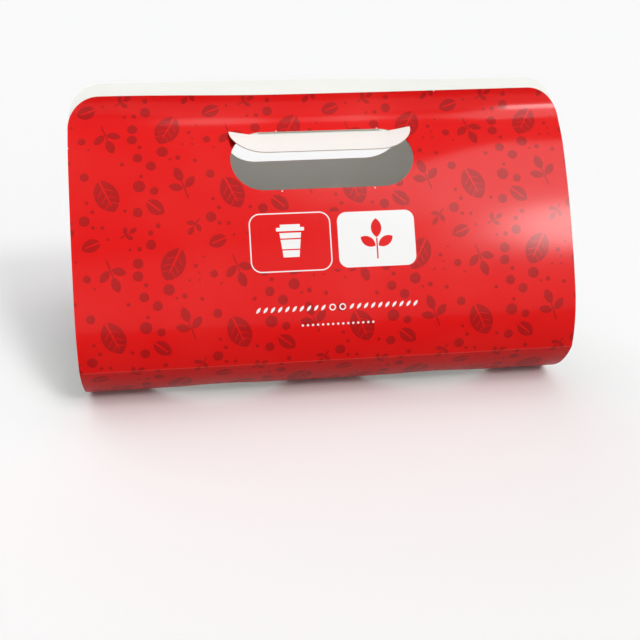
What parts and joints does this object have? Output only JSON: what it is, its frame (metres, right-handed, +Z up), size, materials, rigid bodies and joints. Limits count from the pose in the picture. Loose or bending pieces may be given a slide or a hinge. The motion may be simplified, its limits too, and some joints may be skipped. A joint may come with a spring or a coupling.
{
  "type": "folding cup carrier",
  "caption": "Folded card cup carrier: a bowed base with round cup holes and curved panels that lock together at slotted handles.",
  "frame": {"origin": "middle of the flat spot under the base, at the lowest point", "axes": "+X along the width over both cup holes, +Y to the panel that carries the tab, +Z up through the handles; the open handle slot faces -Y"},
  "size_m": [0.238, 0.1112, 0.1468],
  "materials": {
    "printed_card": "gloss laminated red outside, uncoated off-white inside"
  },
  "bodies": {
    "root": {"cup_carrier": "printed_card"}
  },
  "joints": []
}
